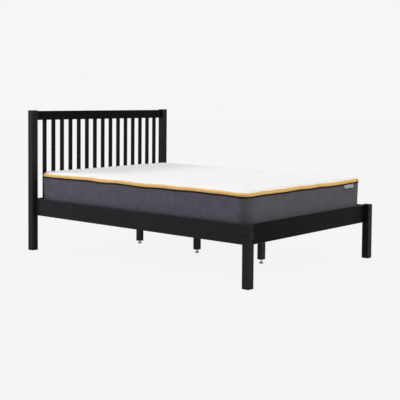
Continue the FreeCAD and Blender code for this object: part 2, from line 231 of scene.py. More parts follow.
def steelMaterial(name):
    values = steels[name]
    colour, roughness = values["colour"], values["roughness"]
    material, tree, shader = startMaterial(name)
    fine = cloudy(placeIn(tree, "Object", (values["streak"],) * 3), 2.0, 0.5)
    patch = cloudy(placeIn(tree, "Object", (60.0, 60.0, 60.0)), 3.0, 0.55)
    shade = mixColour(between(patch, 0.3, 0.7), tone(colour, 0.86), tone(colour, 1.08))
    dull = between(patch, 0.25, 0.75, roughness - 0.06, roughness + 0.1)
    setShader(shader, shade, dull, Metallic=values["metallic"])
    addRelief(shader, fine, values["depth"], 0.5)
    return material


# Knitted cloth, drawn on the piece's own map: columns of small loops with a soft melange, and painted shade
# darkening the gaps between the loops.
# The two scales give one band of a wave texture for each unit of its coordinates
bandScale, slantScale = 2 * math.pi / 20, 2 * math.pi / 10
# gap: how strongly painted shade darkens the gaps between the loops
cloths = {
    "borderCloth": {"colour": (0.0825, 0.0795, 0.098), "melange": 0.22, "gap": 0.35, "loop": 0.0021,
                    "depth": 0.0005, "sheen": 0.18, "mottle": 0.11, "patches": 17.0},
    "undersideCloth": {"colour": (0.045, 0.045, 0.05), "melange": 0.12, "gap": 0.2, "loop": 0.0030,
                       "depth": 0.0004, "sheen": 0.1, "mottle": 0.05, "patches": 9.0},
    "topCloth": {"colour": (0.865, 0.865, 0.862), "melange": 0.018, "gap": 0.05, "loop": 0.0024,
                 "depth": 0.0006, "sheen": 0.0, "mottle": 0.002, "patches": 9.0},
    "tagCloth": {"colour": (0.36, 0.36, 0.375), "melange": 0.06, "gap": 0.1, "loop": 0.0011,
                 "depth": 0.0002, "sheen": 0.1, "mottle": 0.01, "patches": 9.0},
}


def knitMaterial(name):
    values = cloths[name]
    colour, melange, mottle, patches = (values[key] for key in ("colour", "melange", "mottle", "patches"))
    material, tree, shader = startMaterial(name)
    perMetre = 1.0 / values["loop"]
    columns = waves(placeIn(tree, "UV", (perMetre, perMetre, 1.0)), "X", bandScale, 0.6, 1.0)
    loops = waves(placeIn(tree, "UV", (perMetre * 0.5, perMetre, 1.0)), "DIAGONAL", slantScale, 1.2, 1.0)
    yarn = cloudy(placeIn(tree, "UV", (perMetre * 0.9, perMetre * 0.35, 1.0)), 3.0, 0.6)
    broad = cloudy(placeIn(tree, "UV", (patches, patches, 1.0)), 3.0, 0.5)
    height = maths("MULTIPLY", columns, loops)
    flecks = between(yarn, 0.32, 0.68)
    shade = mixColour(flecks, tone(colour, 1.0 - melange), tone(colour, 1.0 + melange))
    # painted shade: the low places between the loops are darkened, down to 0.45 of the colour
    shade = mixColour(between(height, 0.0, 0.55, values["gap"], 0.0), shade, tone(colour, 0.45))
    clouds = between(broad, 0.3, 0.7, 1.0 - mottle, 1.0 + mottle)
    shade = mixColour(1.0, shade, clouds, "MULTIPLY")
    setShader(shader, shade, between(flecks, 0.0, 1.0, 0.82, 0.95), Specular_IOR_Level=0.25,
              Sheen_Weight=values["sheen"], Sheen_Roughness=0.4)
    addRelief(shader, maths("ADD", height, maths("MULTIPLY", yarn, 0.5)), values["depth"], 0.6)
    return material


# Twill tape of the piping: fine slanting ribs round the cord, golden, with a near-black painted shade on the
# cord's underside and on a flange below it
twill = {"rib": 0.0016, "depth": 0.00025}
tapes = {
    "pipingGold": {"colour": (0.80, 0.485, 0.115), "specular": 0.35, "sheen": 0.15},
    # near-black painted shade for the cord's underside and the flange below it
    "pipingUndersideShade": {"colour": (0.022, 0.011, 0.0018), "specular": 0.03, "sheen": 0.0},
}


def twillMaterial(name):
    values = tapes[name]
    colour = values["colour"]
    material, tree, shader = startMaterial(name)
    perMetre = 1.0 / twill["rib"]
    ribs = waves(placeIn(tree, "UV", (perMetre, perMetre, 1.0)), "DIAGONAL", slantScale, 0.4, 2.0)
    fuzz = cloudy(placeIn(tree, "UV", (1400.0, 1400.0, 1.0)), 2.0, 0.5)
    broad = cloudy(placeIn(tree, "UV", (14.0, 30.0, 1.0)), 3.0, 0.5)
    shade = mixColour(between(ribs, 0.1, 0.8), tone(colour, 0.72), tone(colour, 1.08))
    shade = mixColour(between(broad, 0.3, 0.7, 0.0, 0.4), shade, tone(colour, 0.9))
    setShader(shader, shade, between(fuzz, 0.3, 0.7, 0.66, 0.86), Specular_IOR_Level=values["specular"],
              Sheen_Weight=values["sheen"])
    addRelief(shader, maths("ADD", ribs, maths("MULTIPLY", fuzz, 0.4)), twill["depth"], 0.6)
    return material


# Open-cell foam of the core, with painted shade darkening its pores, and sewing thread
foam = {"cells": 650.0, "wall": (0.55, 0.5, 0.38), "face": (0.82, 0.78, 0.66), "depth": 0.0006}
threads = {"darkThread": (0.022, 0.015, 0.011), "greyThread": (0.42, 0.42, 0.43)}


def foamMaterial():
    material, tree, shader = startMaterial("coreFoam")
    cells = addNode(tree, "ShaderNodeTexVoronoi", Vector=placeIn(tree, "Object", (foam["cells"],) * 3))
    apart = cells.outputs["Distance"]
    # the pores, low in the relief, take the darker colour as painted shade
    shade = mixColour(between(apart, 0.0, 0.6), tone(foam["wall"], 1.0), tone(foam["face"], 1.0))
    setShader(shader, shade, between(apart, 0.0, 0.6, 0.95, 0.85))
    addRelief(shader, apart, foam["depth"], 0.7)
    return material


def threadMaterial(name):
    colour = threads[name]
    material, tree, shader = startMaterial(name)
    twist = cloudy(placeIn(tree, "Object", (2600.0, 2600.0, 2600.0)), 1.0, 0.5)
    shade = mixColour(between(twist, 0.3, 0.7), tone(colour, 0.8), tone(colour, 1.15))
    setShader(shader, shade, between(twist, 0.3, 0.7, 0.5, 0.72))
    addRelief(shader, twist, 0.0001, 0.5)
    return material


materials = {"timberX": timberMaterial("X"), "timberY": timberMaterial("Y"), "foam": foamMaterial()}
for group, makeLook in ((tapes, twillMaterial), (threads, threadMaterial), (paintsWithPaintedLight, paintMaterial),
                        (steels, steelMaterial), (cloths, knitMaterial)):
    for lookName in group:
        materials[lookName] = makeLook(lookName)
print("materials:", len(materials))

# Which CAD nodes get which finish, by the start of their names. The first that fits counts
finishes = {
    "postPaint": ("head_post", "foot_leg"), "endRailPaint": ("head_top_rail", "head_lower_rail", "foot_rail"),
    "spindlePaint": "head_spindle", "sideRailPaint": "side_rail", "centreLegPaint": "centre_leg",
    "saddleSteel": "centre_rail_brackets", "timberY": ("slat_batten", "centre_rail"),
    "timberX": ("slat_", "rail_dowels"), "boltSteel": "connector_bolts", "nickelSteel": "leveller_",
    "zincSteel": ("barrel_nuts", "threaded_inserts"), "foam": "mattress_core", "pipingGold": "mattress_piping",
    "tagCloth": "mattress_tag", "topCloth": "mattress_top", "borderCloth": "mattress_border",
}
for nodeName, cadObject in nodes.items():
    finish = next(key for key, starts in finishes.items() if nodeName.startswith(starts))
    for materialSlot in cadObject.material_slots:
        materialSlot.material = materials[finish]
print("finishes on", len(nodes), "nodes")


# The mattress: sizes read from the frame, the rest chosen here
mattress = {
    "corner": 0.075,  # radius of the corners in plan
    "cell": 0.015,  # spacing of the mesh
    "arcCells": 10,
    "lowerRound": 0.0085,  # how far in the lower edge rolls, and over which share of the height
    "lowerShare": 0.07,
    "lean": 0.0062,  # how much narrower the foam is at its foot than at its seam
    "seamPull": 0.0062,  # how far the piped seam draws the border in, and from which share up
    "seamShare": 0.90,
    "seamWander": 0.0052,  # the piped seam rises and dips a little along the sides
    "unevenness": 0.0022,  # slow waves in the foam and cloth
    "pucker": 0.0009,  # small gathers next to the seams
    "puckerReach": 0.020,
    "seamWaves": ((1.0, 5.5, 0.4), (0.35, 15.0, 9.0)),  # weight, count per metre and seed of each wave
    "sideGathers": ((1.0, 34.0, 1.7), (0.6, 80.0, 5.1)),
    "topGathers": ((1.0, 30.0, 8.3), (0.6, 70.0, 2.2)),
    "bulges": ((1.0, 3.1, 5.0, 4.0), (0.35, 9.0, 12.0, 0.0)),  # weight, counts across and up, seed
    "pipingInset": 0.007,  # the cord is sewn in that far inside the mattress's edge
    "cornerReach": 0.11,  # near two corners the seam sags or rides up
    "footLeftRise": -0.0052,
    "footRightRise": 0.0045,
}
pipingLow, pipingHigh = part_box("mattress_piping")
cordRadius = (pipingHigh.z - pipingLow.z) / 2
seamZ = (pipingHigh.z + pipingLow.z) / 2
edgeInset = cordRadius - mattress["pipingInset"]
halfWidth = pipingHigh.x - edgeInset
footY, headY = pipingLow.y + edgeInset, pipingHigh.y - edgeInset
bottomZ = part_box("mattress_border")[0].z
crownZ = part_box("mattress_top")[1].z
borderHeight = seamZ - bottomZ
corner = mattress["corner"]
cornerArc = corner * math.pi / 2
innerX, innerFoot, innerHead = halfWidth - corner, footY + corner, headY - corner
innerLength = innerHead - innerFoot


def seamColumns():  # each column's foot on the inner rectangle, the way it faces and its place along the seam
    turns = [Vector(place) for place in
             ((innerX, innerFoot), (innerX, innerHead), (-innerX, innerHead), (-innerX, innerFoot))]
    columns, travelled = [], 0.0
    for i, start in enumerate(turns):
        end = turns[(i + 1) % 4]
        side = end - start
        facing = Vector((side.y, -side.x)).normalized()
        cells = round(side.length / mattress["cell"])
        for k in range(cells):
            columns.append((start + side * (k / cells), facing, travelled + side.length * k / cells))
        travelled += side.length
        for k in range(mattress["arcCells"]):
            angle = math.pi / 2 * k / mattress["arcCells"]
            columns.append((end, Matrix.Rotation(angle, 2) @ facing, travelled + corner * angle))
        travelled += cornerArc
    return columns, travelled


columns, seamLength = seamColumns()


def outAt(column, inset, z):  # a point that lies so far inside the mattress's edge, at a height
    foot, facing = column[:2]
    flat = foot + facing * (corner - inset)
    return Vector((flat.x, flat.y, z))


def waver(along, perMetre, seed):  # smooth noise along the seam that meets itself at the end
    turn = along / seamLength * 2 * math.pi
    reach = perMetre * seamLength / (2 * math.pi)
    return noise.noise(Vector((math.cos(turn) * reach, math.sin(turn) * reach, seed)))


def waverSum(along, parts):
    return sum(weight * waver(along, perMetre, seed) for weight, perMetre, seed in parts)


def seamRise(along):
    rise = mattress["seamWander"] * waverSum(along, mattress["seamWaves"])
    for fromEnd, change in ((2 * innerX + cornerArc * 1.5, "footLeftRise"), (cornerArc / 2, "footRightRise")):
        gap = abs(along - (seamLength - fromEnd))
        gap = min(gap, seamLength - gap) / mattress["cornerReach"]
        rise += mattress[change] * math.exp(-gap * gap)
    return rise


def ramp(share, start):  # 0 up to the start, 1 at the end
    return max(0.0, (share - start) / (1.0 - start))


def borderInset(share):  # vertical section of the border
    lower = mattress["lowerRound"] * max(0.0, 1.0 - share / mattress["lowerShare"]) ** 2
    lean = mattress["lean"] * (1.0 - share) ** 1.3
    upper = mattress["seamPull"] * ramp(share, mattress["seamShare"]) ** 1.5
    return lower + lean + upper


def borderPoint(column, share):
    along = column[2]
    z = bottomZ + borderHeight * share + seamRise(along) * share ** 4
    point = outAt(column, 0.0, z)
    slow = sum(weight * noise.noise(Vector((point.x * across, point.y * across, z * up + seed)))
               for weight, across, up, seed in mattress["bulges"])
    slow *= mattress["unevenness"] * math.sin(math.pi * min(1.0, max(0.0, share)))
    fromSeam = borderHeight * min(1.0 - share, share + 0.02)
    gather = waverSum(along, mattress["sideGathers"])
    gather *= mattress["pucker"] * math.exp(-max(0.0, fromSeam) / mattress["puckerReach"])
    return outAt(column, borderInset(share) - slow - gather, z)


def bridge(mesh, lower, upper):  # faces between two rings, triangles where the upper has one vertex twice
    faces = []
    for i in range(len(lower)):
        j = (i + 1) % len(lower)
        corners = [lower[i], lower[j], upper[j], upper[i]]
        faces.append(mesh.faces.new(corners if upper[i] is not upper[j] else corners[:3]))
    return faces


def skin(rows, heights, closedRing=False):  # quads over rows of points, mapped along the seam and up the rows
    mesh = bmesh.new()
    uvLayer = mesh.loops.layers.uv.new("UVMap")
    made = [[mesh.verts.new(point) for point in row] for row in rows]
    pairs = list(zip(range(len(rows) - 1), range(1, len(rows))))
    if closedRing:
        pairs.append((len(rows) - 1, 0))
    for lower, upper in pairs:
        bottom = heights[lower]
        top = heights[upper] if upper else bottom + (heights[1] - heights[0])
        for i, face in enumerate(bridge(mesh, made[lower], made[upper])):
            left, right = columns[i][2], columns[i + 1][2] if i + 1 < len(columns) else seamLength
            for loop, place in zip(face.loops, ((left, bottom), (right, bottom), (right, top), (left, top))):
                loop[uvLayer].uv = place
    return mesh, made


def mapFlat(mesh, faces, up="y"):  # maps cloth by the places of its corners
    uvLayer = mesh.loops.layers.uv.verify()
    for face in faces:
        for loop in face.loops:
            loop[uvLayer].uv = (loop.vert.co.x, getattr(loop.vert.co, up))


def placed(name, data):
    item = bpy.data.objects.new(name, data)
    scene.collection.objects.link(item)
    return item


def asObject(name, mesh, *looks):
    data = bpy.data.meshes.new(name)
    mesh.to_mesh(data)
    mesh.free()
    for look in looks:
        data.materials.append(look)
    for polygon in data.polygons:
        polygon.use_smooth = True
    return placed(name, data)


def settled(piece):  # the evaluated mesh takes the place of the modifiers
    graph = bpy.context.evaluated_depsgraph_get()
    final = piece.evaluated_get(graph)
    data = bpy.data.meshes.new_from_object(final, preserve_all_data_layers=True, depsgraph=graph)
    piece.modifiers.clear()
    piece.data = data
    return piece


def subdivided(piece):
    modifier = piece.modifiers.new("smooth", "SUBSURF")
    modifier.levels = modifier.render_levels = 1
    return settled(piece)


# Border: walls with a rolled lower edge, a flat underside and a covered inner top
border = {
    "shares": [0.0, 0.012, 0.03, 0.055] + [0.09 + 0.0525 * i for i in range(17)] + [0.955, 0.98, 1.0],
    "underInsets": [0.065, 0.042, 0.023],  # rings under the walls, and their heights on the cloth's map
    "underHeights": [-0.050, -0.027, -0.008],
    "innerRings": [(0.016, 0.004), (0.030, 0.006)],  # rings inside the walls: how far in and how deep
    "innerHeights": [0.009, 0.025],
    "underTop": 0.001,
}


def makeBorder():
    rows = [[outAt(column, inset, bottomZ) for column in columns] for inset in border["underInsets"]]
    rows += [[borderPoint(column, share) for column in columns] for share in border["shares"]]
    rows += [[outAt(column, inset, seamZ - drop) for column in columns] for inset, drop in border["innerRings"]]
    heights = border["underHeights"] + [share * borderHeight for share in border["shares"]]
    heights += [borderHeight + beyond for beyond in border["innerHeights"]]
    mesh, made = skin(rows, heights)
    mapFlat(mesh, [mesh.faces.new(ring) for ring in (made[0][::-1], made[-1])])
    for face in mesh.faces:
        if face.calc_center_median().z < bottomZ + border["underTop"]:
            face.material_index = 1
    return asObject("mattressBorder", mesh, materials["borderCloth"], materials["undersideCloth"])


# Top: rings from the seam inwards, then a grid; the crown rises fast at the edge and slowly further in
crown = {
    "start": 0.0080,  # the cloth leaves the seam that far inside the edge, and rises steeply so high
    "wall": 0.0080,
    "shoulder": 0.026,
    "shoulderShare": 0.72,
    "slowReach": 0.070,
    "seamFade": 0.03,  # how far in from the edge the seam's waves are felt
    "ripple": (0.0012, 4.0, 3.3),  # height, count per metre and seed
    "hiddenRings": [(0.0110, -0.0020), (0.0086, 0.0025)],
    "ringInsets": [0.0080, 0.0088, 0.0105, 0.0135, 0.0180, 0.0240, 0.0320, 0.0420, 0.0530, 0.0640],
    "sewnRings": 4,
}
settling = {
    "foamDrop": 0.0035,  # the foam lies that far below the cloth and inside it
    "foamInset": 0.003,
    "clearance": 0.0012,
    "friction": 12.0,
    "cloth": {"quality": 6, "mass": 0.25, "tension_stiffness": 18.0, "compression_stiffness": 18.0,
              "shear_stiffness": 6.0, "bending_stiffness": 1.2, "air_damping": 2.0, "shrink_min": -0.004},
    "frames": 22,
    "cap": 0.006,  # no point of the cloth moves further
}


def crownRise(inset):
    beyond = max(0.0, inset - crown["start"])
    quick = math.sqrt(1.0 - max(0.0, 1.0 - beyond / crown["shoulder"]) ** 2)
    slow = 1.0 - math.exp(-beyond / crown["slowReach"])
    share = crown["shoulderShare"] * quick + (1.0 - crown["shoulderShare"]) * slow
    return crown["wall"] + (crownZ - seamZ - crown["wall"]) * share


def topPoint(column, inset, rise):
    along = column[2]
    fade = math.exp(-inset / crown["seamFade"])
    gather = waverSum(along, mattress["topGathers"]) * mattress["pucker"]
    return outAt(column, inset, seamZ + rise + (seamRise(along) + gather) * fade)


def topMesh(lower=0.0, drawnIn=0.0):
    mesh = bmesh.new()
    mesh.loops.layers.uv.new("UVMap")
    cellsX, cellsY = round(2 * innerX / mattress["cell"]), round(innerLength / mattress["cell"])
    rippleHeight, perMetre, seed = crown["ripple"]
    grid = {}
    for ix in range(cellsX + 1):
        for iy in range(cellsY + 1):
            x = -innerX + 2 * innerX * ix / cellsX
            y = innerFoot + innerLength * iy / cellsY
            toEdge = corner + min(x + innerX, innerX - x, y - innerFoot, innerHead - y)
            wave = noise.noise(Vector((x * perMetre, y * perMetre, seed))) * rippleHeight
            grid[ix, iy] = mesh.verts.new((x, y, seamZ + crownRise(toEdge) + wave - lower))
    levels = crown["hiddenRings"] + [(ringInset, crownRise(ringInset)) for ringInset in crown["ringInsets"]]
    rings = []
    for ringInset, rise in levels:
        points = [topPoint(column, ringInset + drawnIn, rise - lower) for column in columns]
        rings.append([mesh.verts.new(point) for point in points])
    last = []
    for column in columns:
        ix = round((column[0].x + innerX) / (2 * innerX) * cellsX)
        iy = round((column[0].y - innerFoot) / innerLength * cellsY)
        last.append(grid[ix, iy])
    rings.append(last)
    for outer, inner in zip(rings, rings[1:]):
        bridge(mesh, outer, inner)
    for ix in range(cellsX):
        for iy in range(cellsY):
            mesh.faces.new((grid[ix, iy], grid[ix + 1, iy], grid[ix + 1, iy + 1], grid[ix, iy + 1]))
    mapFlat(mesh, mesh.faces)
    return mesh, rings


def makeTop():
    mesh, rings = topMesh()
    mesh.verts.index_update()
    held = [vertex.index for ring in rings[:crown["sewnRings"]] for vertex in ring]
    piece = asObject("mattressTop", mesh, materials["topCloth"])
    settleTop(piece, held)
    subdivided(piece)
    closer = bmesh.new()
    closer.from_mesh(piece.data)
    rim = [edge for edge in closer.edges if edge.is_boundary]
    bmesh.ops.holes_fill(closer, edges=rim, sides=0)
    bmesh.ops.recalc_face_normals(closer, faces=closer.faces)
    closer.to_mesh(piece.data)
    closer.free()
    return piece


def settleTop(piece, held):  # the knitted panel, a little too large and sewn at the seam, settles on the foam
    start = [vertex.co.copy() for vertex in piece.data.vertices]
    group = piece.vertex_groups.new(name="seam")
    group.add(held, 1.0, "REPLACE")
    foamObject = asObject("foamUnderTop", topMesh(settling["foamDrop"], settling["foamInset"])[0])
    foamObject.modifiers.new("body", "COLLISION")
    foamObject.collision.thickness_outer = settling["clearance"]
    foamObject.collision.cloth_friction = settling["friction"]
    cloth = piece.modifiers.new("settle", "CLOTH")
    for key, value in settling["cloth"].items():
        setattr(cloth.settings, key, value)
    cloth.settings.vertex_group_mass = group.name
    cloth.collision_settings.distance_min = settling["clearance"]
    cloth.collision_settings.use_self_collision = False
    cloth.point_cache.frame_start = 1
    cloth.point_cache.frame_end = settling["frames"]
    for number in range(1, settling["frames"] + 1):
        scene.frame_set(number)
    graph = bpy.context.evaluated_depsgraph_get()
    moved = [vertex.co.copy() for vertex in piece.evaluated_get(graph).data.vertices]
    piece.modifiers.clear()
    scene.frame_set(1)
    for vertex, before, after in zip(piece.data.vertices, start, moved):
        step = after - before
        if step.length > settling["cap"]:
            step *= settling["cap"] / step.length
        vertex.co = before + step
    piece.vertex_groups.clear()
    bpy.data.objects.remove(foamObject)


# Piping: a covered cord that wanders a little along the seam, with a near-black flange under it; the flange and
# the cord's underside carry painted shade.
# The section is drawn in cord radii outwards and upwards from the cord's middle
piping = {"cordSteps": 15, "cordStart": -52.0, "cordEnd": 222.0, "plump": 1.17,
          "sway": 0.0014, "swayWave": (8.0, 3.0), "swell": 0.05, "swellWave": (16.0, 6.4),  # per metre, seed
          "shadedUnderside": [(-0.45, -1.05), (0.40, -1.85), (0.95, -1.97), (1.17, -1.84),
                       (1.12, -1.42), (0.95, -1.02)]}


def pipingSection():
    start, end, steps = piping["cordStart"], piping["cordEnd"], piping["cordSteps"]
    angles = [math.radians(start + (end - start) * k / steps) for k in range(steps + 1)]
    cord = [(math.cos(angle) * piping["plump"], math.sin(angle) * piping["plump"]) for angle in angles]
    return cord + piping["shadedUnderside"]


def makePiping():
    section = pipingSection()
    rows, heights = [], []
    for k, (out, up) in enumerate(section):
        heights.append(cordRadius * 2 * math.pi * k / len(section))
        row = []
        for column in columns:
            along = column[2]
            radius = cordRadius * (1.0 + piping["swell"] * waver(along, *piping["swellWave"]))
            inset = mattress["pipingInset"] + piping["sway"] * waver(along, *piping["swayWave"])
            row.append(outAt(column, inset - radius * out, seamZ + seamRise(along) + radius * up))
        rows.append(row)
    mesh = skin(rows, heights, closedRing=True)[0]
    for number, face in enumerate(mesh.faces):
        # the cord's underside and the flange below it take the near-black painted shade
        face.material_index = 1 if number // len(columns) >= piping["cordSteps"] else 0
    return subdivided(asObject("mattressPiping", mesh, materials["pipingGold"], materials["pipingUndersideShade"]))


mattressPieces = {"mattress_border": makeBorder(), "mattress_top": makeTop(), "mattress_piping": makePiping()}
print("mattress:", [len(piece.data.polygons) for piece in mattressPieces.values()])


# Tag: a bare woven tape folded double, sewn into the seam and lying down over the border
tag = {"cellsAcross": 30, "cellsDown": 16, "thickness": 0.0011, "gap": 0.0003, "bendStart": 0.36, "bend": 74.0,
       "ripple": 0.0008, "rippleWaves": (5.0, 0.15, 7.0)}  # across the tag, for each row, and the seed
tagLow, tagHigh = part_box("mattress_tag")


def tagProfile():  # how far out and how far down each row of the tag lies
    step = (tagHigh.z - tagLow.z) / tag["cellsDown"]
    out, down, profile = 0.0, 0.0, [(0.0, 0.0)]
    for k in range(tag["cellsDown"]):
        share = (k + 0.5) / tag["cellsDown"]
        angle = math.radians(tag["bend"]) * ramp(share, tag["bendStart"]) ** 1.2
        out, down = out + step * math.sin(angle), down + step * math.cos(angle)
        profile.append((out, down))
    return profile


tagRowPlaces = tagProfile()


def tagPoint(across, row, lift=0.0):  # share across the tag, number of the row
    out, down = tagRowPlaces[row]
    x = tagLow.x + (tagHigh.x - tagLow.x) * across
    onEdge = borderInset((tagHigh.z - down - bottomZ) / borderHeight) - tag["gap"]
    perTag, perRow, seed = tag["rippleWaves"]
    ripple = tag["ripple"] * row / tag["cellsDown"] * noise.noise(Vector((across * perTag, row * perRow, seed)))
    rise = seamRise(seamLength - cornerArc - innerX + x)
    return Vector((x, footY + onEdge - out - ripple - lift, tagHigh.z + rise - down))


def makeTag():
    mesh = bmesh.new()
    mesh.loops.layers.uv.new("UVMap")
    across, down = tag["cellsAcross"], tag["cellsDown"]
    places = {(i, k): mesh.verts.new(tagPoint(i / across, k))
              for i in range(across + 1) for k in range(down + 1)}
    for i in range(across):
        for k in range(down):
            mesh.faces.new((places[i, k], places[i, k + 1], places[i + 1, k + 1], places[i + 1, k]))
    mapFlat(mesh, mesh.faces, "z")
    piece = asObject("mattressTag", mesh, materials["tagCloth"])
    thicken = piece.modifiers.new("double", "SOLIDIFY")
    thicken.thickness = tag["thickness"]
    thicken.offset = 1.0
    return settled(piece)


mattressPieces["mattress_tag"] = makeTag()


# Geometry Nodes trees: one for stitches, one for screws. Their inputs are named like the user values
socketKinds = {"look": "NodeSocketMaterial", "seed": "NodeSocketInt"}


def startTree(name, *labels):
    tree = bpy.data.node_groups.new(name, "GeometryNodeTree")
    tree.interface.new_socket("Geometry", in_out="INPUT", socket_type="NodeSocketGeometry")
    for label in labels:
        tree.interface.new_socket(label, in_out="INPUT", socket_type=socketKinds.get(label, "NodeSocketFloat"))
    tree.interface.new_socket("Geometry", in_out="OUTPUT", socket_type="NodeSocketGeometry")
    source, sink = tree.nodes.new("NodeGroupInput"), tree.nodes.new("NodeGroupOutput")
    return tree, source.outputs, sink.inputs["Geometry"]


def grown(name, mesh, tree, values):  # runs a tree on a mesh and keeps the result as a plain mesh
    piece = placed(name, mesh)
    modifier = piece.modifiers.new(tree.name, "NODES")
    modifier.node_group = tree
    for item in tree.interface.items_tree:
        if item.in_out == "INPUT" and item.name in values:
            modifier[item.identifier] = values[item.name]
    bpy.context.view_layer.update()
    return settled(piece)


def stitchTree():
    tree, given, result = startTree("stitches", "pitch", "length", "thread", "look")
    curve = addNode(tree, "GeometryNodeMeshToCurve", Mesh=given["Geometry"])
    spaced = addNode(tree, "GeometryNodeResampleCurve", {"mode": "LENGTH"}, Curve=curve.outputs[0],
                     Length=given["pitch"])
    bead = addNode(tree, "GeometryNodeMeshUVSphere", Segments=8, Rings=5, Radius=0.5)
    size = addNode(tree, "ShaderNodeCombineXYZ", X=given["length"], Y=given["thread"], Z=given["thread"])
    turn = addNode(tree, "FunctionNodeAlignRotationToVector", {"axis": "X"},
                   Vector=tree.nodes.new("GeometryNodeInputTangent").outputs[0])
    sewn = addNode(tree, "GeometryNodeInstanceOnPoints", Points=spaced.outputs[0],
                   Instance=bead.outputs["Mesh"], Rotation=turn.outputs[0], Scale=size.outputs[0])
    real = addNode(tree, "GeometryNodeRealizeInstances", Geometry=sewn.outputs[0])
    smooth = addNode(tree, "GeometryNodeSetShadeSmooth", Geometry=real.outputs[0])
    look = addNode(tree, "GeometryNodeSetMaterial", Geometry=smooth.outputs[0], Material=given["look"])
    feed(result, look.outputs[0])
    return tree


def screwTree():
    tree, given, result = startTree("screws", "topRadius", "lowerRadius", "height", "recessLength",
                                    "recessWidth", "recessDepth", "seed", "look")
    head = addNode(tree, "GeometryNodeMeshCone", {"fill_type": "NGON"}, Vertices=24,
                   Radius_Top=given["topRadius"], Radius_Bottom=given["lowerRadius"], Depth=given["height"])
    lowered = addNode(tree, "ShaderNodeCombineXYZ", Z=maths("MULTIPLY", given["height"], -1.0))
    seated = addNode(tree, "GeometryNodeTransform", Geometry=head.outputs["Mesh"],
                     Translation=lowered.outputs[0])
    depth = maths("MULTIPLY", given["recessDepth"], 2.0)
    recessed = addNode(tree, "GeometryNodeMeshBoolean", {"operation": "DIFFERENCE"}, Mesh_1=seated.outputs[0])
    for first, second in (("recessLength", "recessWidth"), ("recessWidth", "recessLength")):
        size = addNode(tree, "ShaderNodeCombineXYZ", X=given[first], Y=given[second], Z=depth)
        cutter = addNode(tree, "GeometryNodeMeshCube", Size=size.outputs[0])
        feed(recessed.inputs["Mesh 2"], cutter.outputs["Mesh"])
    facing = addNode(tree, "GeometryNodeInputNamedAttribute", {"data_type": "FLOAT_VECTOR"}, Name="facing")
    upright = addNode(tree, "FunctionNodeAlignRotationToVector", {"axis": "Z"},
                      Vector=facing.outputs["Attribute"])
    chance = addNode(tree, "FunctionNodeRandomValue", {"data_type": "FLOAT"}, Seed=given["seed"])
    spin = addNode(tree, "FunctionNodeAxisAngleToRotation", Axis=(0.0, 0.0, 1.0),
                   Angle=maths("MULTIPLY", chance.outputs[1], math.pi))
    spun = addNode(tree, "FunctionNodeRotateRotation", {"rotation_space": "LOCAL"}, Rotation=upright.outputs[0],
                   Rotate_By=spin.outputs[0])
    driven = addNode(tree, "GeometryNodeInstanceOnPoints", Points=given["Geometry"],
                     Instance=recessed.outputs["Mesh"], Rotation=spun.outputs[0])
    real = addNode(tree, "GeometryNodeRealizeInstances", Geometry=driven.outputs[0])
    look = addNode(tree, "GeometryNodeSetMaterial", Geometry=real.outputs[0], Material=given["look"])
    feed(result, look.outputs[0])
    return tree


def pathMesh(name, points, closed):
    data = bpy.data.meshes.new(name)
    edges = [(i, i + 1) for i in range(len(points) - 1)]
    if closed:
        edges.append((len(points) - 1, 0))
    data.from_pydata(points, edges, [])
    return data


def pointMesh(name, places):  # points with the direction that each screw's head looks
    data = bpy.data.meshes.new(name)
    data.from_pydata([place for place, facing in places], [], [])
    facings = data.attributes.new("facing", "FLOAT_VECTOR", "POINT")
    for i, (place, facing) in enumerate(places):
        facings.data[i].vector = facing
    return data


# Stitches: one row round the mattress on the dark flange under the piping, which carries painted shade, and two
# short rows at the sides of the tag
stitching = {"out": 1.15, "up": -1.55, "pitch": 0.0042, "length": 0.0032, "thread": 0.0010}
tagStitching = {"sides": (0.03, 0.97), "firstRow": 3, "pitch": 0.0032, "length": 0.0024, "thread": 0.0009}
stitches = stitchTree()


def seamStitchPath():
    inset = mattress["pipingInset"] - stitching["out"] * cordRadius
    drop = stitching["up"] * cordRadius
    return [outAt(column, inset, seamZ + seamRise(column[2]) + drop) for column in columns]


def stitchRow(name, points, closed, look, sizes):
    return grown(name, pathMesh(name, points, closed), stitches, {**sizes, "look": look})


borderStitches = stitchRow("borderStitches", seamStitchPath(), True, materials["darkThread"], stitching)
tagRows = []
sewnTagRows = range(tagStitching["firstRow"], tag["cellsDown"])
for word, across in zip(("Left", "Right"), tagStitching["sides"]):
    path = [tagPoint(across, row, tag["thickness"]) for row in sewnTagRows]
    tagRows.append(stitchRow("tagStitches" + word, path, False, materials["greyThread"], tagStitching))
print("stitches:", [len(piece.data.polygons) for piece in [borderStitches] + tagRows])

# Wood screws: slats into the battens, battens into the side rails, saddles into the end rails
slatScrew = {"inFromEnd": 0.0105, "proud": 0.00005, "topRadius": 0.0042, "lowerRadius": 0.0022,
             "height": 0.0026}
battenScrew = {"count": 5, "endDistance": 0.12}
recess = {"recessLength": 0.0044, "recessWidth": 0.0009, "recessDepth": 0.0014, "seed": 3}
saddleScrew = {"topRadius": 0.0026, "lowerRadius": 0.0040, "height": 0.0022, "shares": (0.24, 0.76),
               "gauge": 0.002, "inFromEar": 0.0095}  # of the saddle's steel, and of its ear's outer edge
screws = screwTree()


def slatScrewPlaces():
    places = []
    for nodeName in sorted(nodes):
        if nodeName.startswith("slat_") and "batten" not in nodeName:
            low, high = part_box(nodeName)
            for side in (low.x + slatScrew["inFromEnd"], high.x - slatScrew["inFromEnd"]):
                place = Vector((side, (low.y + high.y) / 2, high.z + slatScrew["proud"]))
                places.append((place, Vector((0, 0, 1))))
    return places


